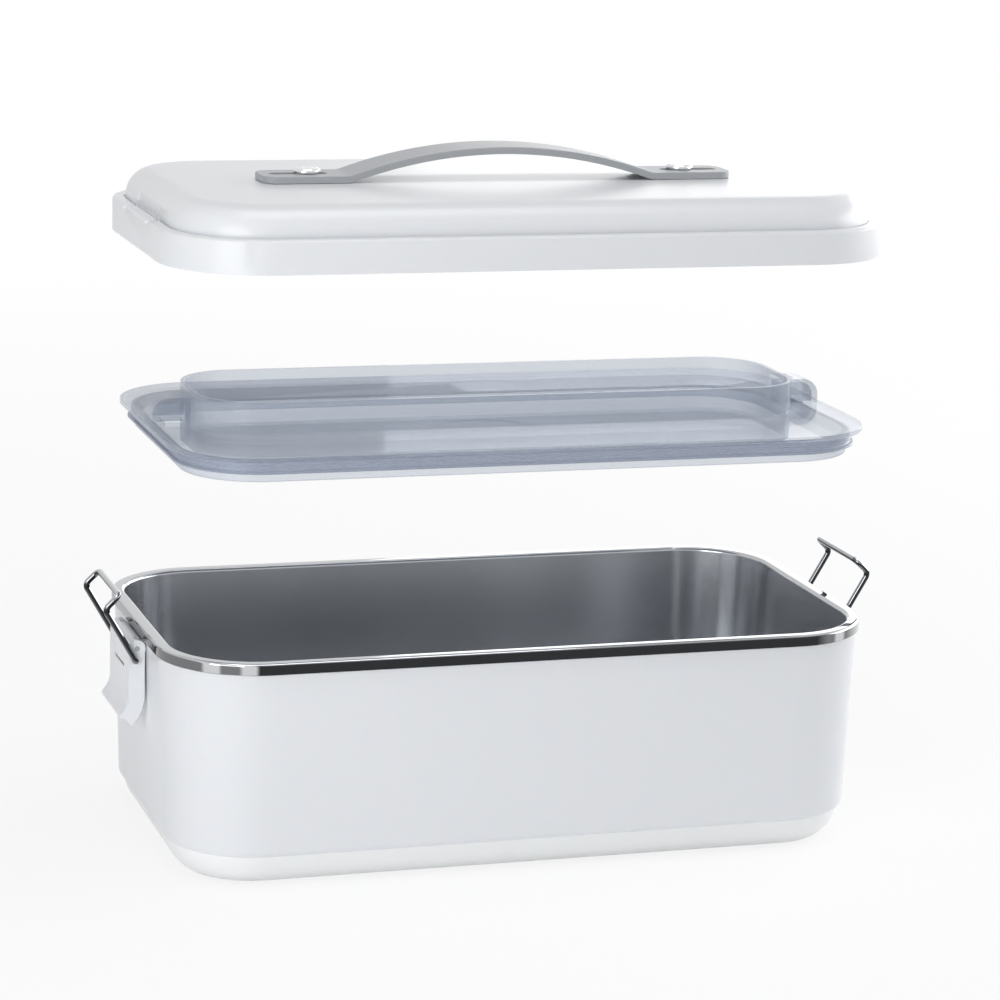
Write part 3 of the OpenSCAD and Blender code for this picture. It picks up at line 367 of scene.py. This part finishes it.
def makePan(p):
    # inside face from the floor up the fillet and the leaning wall, over the mouth, the flange and the
    # band, then back under it all one sheet thickness away
    t, r, edge, mouth = p["sheet"], p["r"], p["edge"], p["r"] - p["flange"]
    foot = mouth - p["lean"]
    wallTop, wallLow, bandLow = p["z"] - p["mouthBend"], p["floor"] + p["fillet"], p["z"] - p["band"]
    inner = [[(p["pole"], p["floor"])], arc(foot - p["fillet"], wallLow, p["fillet"], -90, 0, 14),
             arc(mouth + p["mouthBend"], wallTop, p["mouthBend"], 180, 90, 10),
             arc(r - p["bandBend"], p["z"] - p["bandBend"], p["bandBend"], 90, 0, 10),
             [(r, bandLow + edge), (r - edge, bandLow)]]
    outer = [[(r - t + edge, bandLow), (r - t, bandLow + edge)],
             arc(r - p["bandBend"], p["z"] - p["bandBend"], p["bandBend"] - t, 0, 90, 5),
             arc(mouth + p["mouthBend"], wallTop, p["mouthBend"] - t, 90, 180, 5),
             arc(foot - p["fillet"], wallLow, p["fillet"] + t, 0, -90, 14), [(p["pole"], p["floor"] - t)]]
    section = np.concatenate([np.asarray(q, dtype=float) for q in inner + outer])
    mesh = gridMesh("drawnPan", sweptSection(p["w"], p["d"], r, section), capStart=True, capEnd=True)
    return finishPiece("drawnPan", mesh, "pan", panSteel, ["steel_pan"])


makePan(rim)

seal = {"plug": 23.9, "top": 139.5, "height": 4.6, "collar": 1.1, "lip": 0.8, "reach": 26.42,
        "edge": 0.2, "topEdge": 0.25, "rib": 0.28, "ribsBelow": (1.2, 2.4), "lipFillet": 0.4}


def makeSeal(s):
    # a thin collar round the plug with a soft lip at its foot, and two small ribs on the collar
    top, low, half = s["top"], s["top"] - s["height"], s["lip"] / 2
    edge, topEdge = s["edge"], s["topEdge"]
    inner, outer = s["plug"] + 0.05, s["plug"] + s["collar"]
    section = [[(inner, top - edge), (inner + edge, top), (outer - topEdge, top), (outer, top - topEdge)]]
    section += [arc(outer, top - below, s["rib"], 90, -90, 6) for below in s["ribsBelow"]]
    section += [arc(outer + s["lipFillet"], low + s["lip"] + s["lipFillet"], s["lipFillet"], 180, 270, 5),
                arc(s["reach"] - half, low + half, half, 90, -90, 8),
                [(inner + edge, low), (inner, low + edge)]]
    section = np.concatenate([np.asarray(q, dtype=float) for q in section])[::-1]
    mesh = gridMesh("siliconeSeal", sweptSection(rim["w"], rim["d"], rim["r"], section), closeAlong=True)
    return finishPiece("siliconeSeal", mesh, "inner_lid", clearSilicone, ["lid_seal"], 50)


makeSeal(seal)

wire = {"radius": 1.0, "sides": 20, "hinge": 121.9, "out": 0.56, "z": 65.0, "cheek": 13.4, "width": 34.2,
        "leg": 20.9, "run": 6.3, "rise": 1.5, "footBend": 1.4, "hookBend": 2.4, "lean": 30.0,
        "ends": 0.15, "seenFrom": (0.62, 0.55, 0.56)}


def roundedPath(corners, radii, turnStep=6.0):
    # straight runs between the corners, each corner replaced by an arc of its own radius that touches both
    corners = np.asarray(corners, dtype=float)
    path = [corners[:1]]
    for p, a, b, c in zip(radii, corners[:-2], corners[1:-1], corners[2:]):
        u, v = (a - b) / np.linalg.norm(a - b), (c - b) / np.linalg.norm(c - b)
        bend = math.acos(float(np.clip(u @ v, -1, 1)))
        centre = b + (u + v) / np.linalg.norm(u + v) * p / math.sin(bend / 2)
        first, last = b + u * p / math.tan(bend / 2) - centre, b + v * p / math.tan(bend / 2) - centre
        sweep = math.pi - bend
        k = np.linspace(0, 1, max(3, round(math.degrees(sweep) / turnStep)) + 1)[:, None]
        turned = (np.sin((1 - k) * sweep) * first + np.sin(k * sweep) * last) / math.sin(sweep)
        path.append(centre + turned)
    path.append(corners[-1:])
    return np.concatenate(path)


def tubeAlong(path, radius, sides, aside):
    # circle carried along a path: point(i, a) = path(i) + radius * (cos a * across(i) + sin a * over(i)),
    # where across is the part of one fixed direction that is square to the path
    ahead = np.gradient(path, axis=0)
    ahead /= np.linalg.norm(ahead, axis=1, keepdims=True)
    across = aside - (ahead @ aside)[:, None] * ahead
    across /= np.linalg.norm(across, axis=1, keepdims=True)
    over = np.cross(ahead, across)
    a = np.linspace(0, 2 * math.pi, sides, endpoint=False)[None, :, None]
    return path[:, None] + radius * (np.cos(a) * across[:, None] + np.sin(a) * over[:, None])


def makeBail(side, body, node, w):
    # the wire goes out through the lever's cheek, up, in over the lid's edge, across, and back the same way
    half, leg, top = w["width"] / 2, w["leg"], w["leg"] + w["rise"]
    corners = [(0, w["cheek"], 0), (0, half, 0), (0, half, leg), (-w["run"], half, top),
               (-w["run"], -half, top), (0, -half, leg), (0, -half, 0), (0, -w["cheek"], 0)]
    f, h = w["footBend"], w["hookBend"]
    path = roundedPath(corners, [f, h, h, h, h, f])
    points = tubeAlong(path, w["radius"], w["sides"], np.array(w["seenFrom"]))
    # a smaller ring past each end, so that the cut wire has a broken edge
    ends = points[[0, -1]].mean(axis=1, keepdims=True)
    rings = ends + (points[[0, -1]] - ends) * 0.8
    points = np.concatenate([rings[:1], points, rings[1:]])
    points[0, :, 1] -= w["ends"]
    points[-1, :, 1] += w["ends"]
    lean = math.radians(w["lean"])
    x = points[..., 0] * math.cos(lean) + points[..., 2] * math.sin(lean)
    z = points[..., 2] * math.cos(lean) - points[..., 0] * math.sin(lean)
    placed = np.stack([side * (w["hinge"] + w["out"] + x), points[..., 1], w["z"] + z], axis=-1) * mm
    if side > 0:
        placed = placed[:, ::-1]
    mesh = gridMesh(body + "Wire", placed, capStart=True, capEnd=True)
    return finishPiece(body + "Wire", mesh, body, wireSteel, [node], 60)


makeBail(-1, "bail_left", "latch_bail_left", wire)
makeBail(1, "bail_right", "latch_bail_right", wire)
print("pan, seal and bails made")


def lathed(profile, around=48):
    # a profile (radius, height) turned about an upright line: point(i, a) = (r cos a, r sin a, z)
    profile = np.asarray(profile, dtype=float)
    a = np.linspace(0, 2 * math.pi, around, endpoint=False)
    x, y = profile[:, :1] * np.cos(a), profile[:, :1] * np.sin(a)
    return np.stack([x, y, np.broadcast_to(profile[:, 1:], x.shape)], axis=-1)


stud = {"x": 64.0, "z": 220.9, "head": 4.4, "height": 1.8, "shank": 2.0, "low": 214.45, "edge": 0.3,
        "shoulder": 1.0, "crown": 0.12, "pole": 0.02}


def makeStud(side, node, s):
    # low domed head with a turned-over edge, on a plain shank
    r, edge, shoulder, top, pole = s["head"], s["edge"], s["shoulder"], s["z"] + s["height"], s["pole"]
    shank = [(pole, s["low"]), (s["shank"] - edge, s["low"]), (s["shank"], s["low"] + edge),
             (s["shank"], s["z"]), (r - edge, s["z"])]
    crown = [(r - shoulder - 0.1, top - s["crown"]), (r * 0.5, top - pole), (pole, top)]
    profile = np.concatenate([shank, arc(r - edge, s["z"] + edge, edge, -90, 0, 4),
                              arc(r - shoulder, top - shoulder - s["crown"], shoulder, 0, 80, 8), crown])
    points = (lathed(profile) + np.array([side * s["x"], 0, 0])) * mm
    mesh = gridMesh(node + "Head", points, capStart=True, capEnd=True)
    return finishPiece(node + "Head", mesh, "carry_lid", studSteel, [node], 50)


makeStud(-1, "stud_left", stud)
makeStud(1, "stud_right", stud)

feet = {"x": 88.0, "y": 32.0, "radius": 6.0, "height": 1.7, "dish": 2.8, "dishDepth": 0.25, "edge": 0.55,
        "gap": 0.02}


def makeFoot(sx, sy, node, f):
    # flat pad with a rounded edge and a shallow dish moulded into its underside
    r, edge, gap, top = f["radius"], f["edge"], f["gap"], f["height"] - f["gap"]
    dish = [(gap, f["dishDepth"]), (f["dish"], f["dishDepth"]), (f["dish"] + 0.3, 0.0), (r - edge, 0.0)]
    profile = np.concatenate([dish, arc(r - edge, edge, edge, -90, 0, 6), [(r, top), (gap, top)]])
    points = (lathed(profile) + np.array([sx * f["x"], sy * f["y"], 0])) * mm
    mesh = gridMesh(node + "Pad", points, capStart=True, capEnd=True)
    return finishPiece(node + "Pad", mesh, "base", footRubber, [node], 40)


makeFoot(-1, -1, "foot_front_left", feet)
makeFoot(1, -1, "foot_front_right", feet)
makeFoot(-1, 1, "foot_back_left", feet)
makeFoot(1, 1, "foot_back_right", feet)
print("studs and feet made")


def softened(node, name, body, material, slotName, width, segments, sharp=28):
    # a copy of the CAD mesh: points merged, flat areas joined, and then the corners rounded
    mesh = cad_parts[node].data.copy()
    mesh.name = name
    work = bmesh.new()
    work.from_mesh(mesh)
    bmesh.ops.remove_doubles(work, verts=work.verts, dist=2e-6)
    bmesh.ops.dissolve_limit(work, angle_limit=math.radians(0.4), verts=work.verts, edges=work.edges)
    bmesh.ops.recalc_face_normals(work, faces=work.faces)
    work.to_mesh(mesh)
    work.free()
    piece = finishPiece(name, mesh, body, material, [node], sharp)
    soften = piece.modifiers.new("rounded corners", "BEVEL")
    soften.width = width * mm
    soften.segments = segments
    soften.limit_method = "ANGLE"
    soften.angle_limit = math.radians(sharp)
    soften.use_clamp_overlap = True
    soften.harden_normals = True
    return piece


# CAD node: the copy's name, its body, material and slot, the rounding's width in mm and its steps
roundedCopies = {"strap": ("carryStrap", "strap", greyPP, "strap_plastic", 0.6, 3),
                 "latch_lever_left": ("leftLever", "lever_left", whitePP, "white_plastic", 1.1, 5),
                 "latch_lever_right": ("rightLever", "lever_right", whitePP, "white_plastic", 1.1, 5),
                 "inner_lid": ("clearTrayLid", "inner_lid", clearPolyester, "clear_plastic", 0.25, 2),
                 "outer_lid": ("carryLid", "carry_lid", whitePP, "white_plastic", 0.3, 2)}
for node, settings in roundedCopies.items():
    softened(node, *settings)
print("softened copies made")

# half size and colour of the floor, how white it is seen near the object, and where that fades, in metres
floorLook = {"size": 40.0, "colour": "#f4f5f6", "seenWhite": 0.82, "shadeFrom": 0.2, "shadeReach": 1.2}
worldLook = {"colour": "#ffffff", "seen": 1.0, "cast": 0.16}
# places and sizes in metres; every lamp faces the middle of the object
lampAim = 0.1
lamps = [{"name": "topLamp", "at": (0.0, -0.25, 1.8), "size": (1.2, 1.0), "watts": 12.5},
         {"name": "nearLeftLamp", "at": (-0.45, -0.45, 0.16), "size": (0.4, 0.4), "watts": 1.3},
         {"name": "leftLamp", "at": (-1.2, -1.2, 0.6), "size": (0.9, 0.9), "watts": 6.0},
         {"name": "rightLamp", "at": (1.2, 0.25, 0.4), "size": (1.8, 0.6), "watts": 15.0},
         {"name": "backLamp", "at": (1.3, 1.9, 0.5), "size": (1.6, 0.6), "watts": 3.6}]


def seenDirectly(tree):
    # 1 for what the camera sees, straight or in metal and clear plastic
    path = addNode(tree, "ShaderNodeLightPath")
    either = addNode(tree, "ShaderNodeMath", {"operation": "MAXIMUM"},
                     {0: path.outputs["Is Camera Ray"], 1: path.outputs["Is Glossy Ray"]}).outputs["Value"]
    return addNode(tree, "ShaderNodeMath", {"operation": "MAXIMUM"},
                   {0: either, 1: path.outputs["Is Transmission Ray"]}).outputs["Value"]


def setStage():
    made, tree = newMaterial("paleFloor")
    # its shade fades out with distance, so that no line shows where the floor ends
    place = addNode(tree, "ShaderNodeTexCoord").outputs["Object"]
    away = addNode(tree, "ShaderNodeVectorMath", {"operation": "LENGTH"}, {0: place}).outputs["Value"]
    white = addNode(tree, "ShaderNodeMapRange",
                    {"From Min": floorLook["shadeFrom"], "From Max": floorLook["shadeReach"],
                     "To Min": floorLook["seenWhite"]}, {"Value": away}).outputs["Result"]
    share = addNode(tree, "ShaderNodeMath", {"operation": "MULTIPLY"}, {0: seenDirectly(tree), 1: white})
    matt = addNode(tree, "ShaderNodeBsdfDiffuse", {"Color": hexToLinear(floorLook["colour"])})
    glow = addNode(tree, "ShaderNodeEmission", {"Color": (1, 1, 1, 1), "Strength": 1.0})
    both = addNode(tree, "ShaderNodeMixShader", {},
                   {0: share.outputs["Value"], 1: matt.outputs["BSDF"], 2: glow.outputs["Emission"]})
    addNode(tree, "ShaderNodeOutputMaterial", {}, {"Surface": both.outputs["Shader"]})
    s = floorLook["size"]
    mesh = bpy.data.meshes.new("floor")
    mesh.from_pydata([(-s, -s, 0), (s, -s, 0), (s, s, 0), (-s, s, 0)], [], [(0, 1, 2, 3)])
    mesh.materials.append(made)
    floor = bpy.data.objects.new("floor", mesh)
    bpy.context.scene.collection.objects.link(floor)
    world = bpy.data.worlds.new("studio")
    world.use_nodes = True
    tree = world.node_tree
    tree.nodes.clear()
    level = addNode(tree, "ShaderNodeMapRange", {"To Min": worldLook["cast"], "To Max": worldLook["seen"]},
                    {"Value": seenDirectly(tree)}).outputs["Result"]
    sky = addNode(tree, "ShaderNodeBackground", {"Color": hexToLinear(worldLook["colour"])},
                  {"Strength": level})
    addNode(tree, "ShaderNodeOutputWorld", {}, {"Surface": sky.outputs["Background"]})
    bpy.context.scene.world = world
    for lamp in lamps:
        data = bpy.data.lights.new(lamp["name"], "AREA")
        data.shape = "RECTANGLE"
        data.size, data.size_y = lamp["size"]
        data.energy = lamp["watts"]
        made = bpy.data.objects.new(lamp["name"], data)
        at = np.array(lamp["at"])
        away = at - np.array([0, 0, lampAim])
        z = away / np.linalg.norm(away)
        x = np.cross([0, 0, 1], z)
        x /= np.linalg.norm(x)
        y = np.cross(z, x)
        rows = [[x[i], y[i], z[i], at[i]] for i in range(3)]
        made.matrix_world = Matrix(rows + [[0, 0, 0, 1]])
        bpy.context.scene.collection.objects.link(made)


setStage()
bpy.context.scene.view_settings.view_transform = "Standard"
print("stage set")
